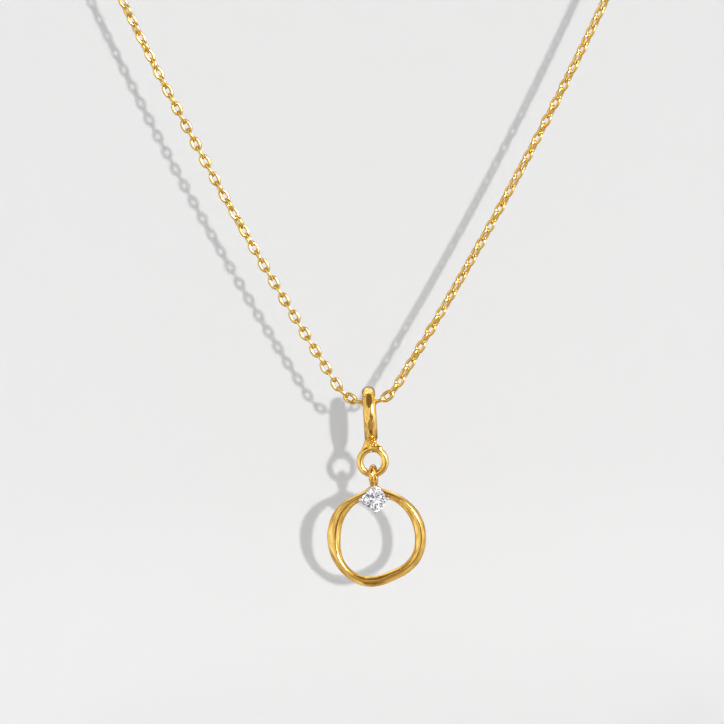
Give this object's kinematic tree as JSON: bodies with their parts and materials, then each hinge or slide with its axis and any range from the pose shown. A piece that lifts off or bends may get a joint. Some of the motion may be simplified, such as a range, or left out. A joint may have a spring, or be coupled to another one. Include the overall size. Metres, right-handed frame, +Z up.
{
  "type": "circle pendant necklace",
  "caption": "Wavy open circle pendant with one round stone in a four-prong setting, on a ring bail and a whole loop of fine oval-link chain.",
  "frame": {"origin": "middle of the clasp, where the loop lies on the nape", "axes": "+Z up, the pendant hanging towards -Z; -Y towards the viewer, on the stone's side; X across the loop"},
  "size_m": [0.1087, 0.0094, 0.1863],
  "materials": {
    "gold": "polished yellow gold",
    "white_metal": "polished white metal",
    "clear_stone": "clear cut stone"
  },
  "bodies": {
    "chain": {"chain_left": "gold", "chain_right": "gold", "clasp": "gold"},
    "bail": {"bail": "gold"},
    "pendant": {"circle": "gold", "setting": "white_metal", "stone": "clear_stone"}
  },
  "joints": [
    {"name": "bail_swing", "type": "hinge", "parent": "chain", "child": "bail", "pos_m": [-0.00742, 0, -0.15276], "axis": [1, 0, 0], "range_deg": [-90, 90]},
    {"name": "pendant_sway", "type": "hinge", "parent": "bail", "child": "pendant", "pos_m": [-0.00742, 0, -0.16255], "axis": [0, 1, 0], "range_deg": [-90, 90]}
  ]
}
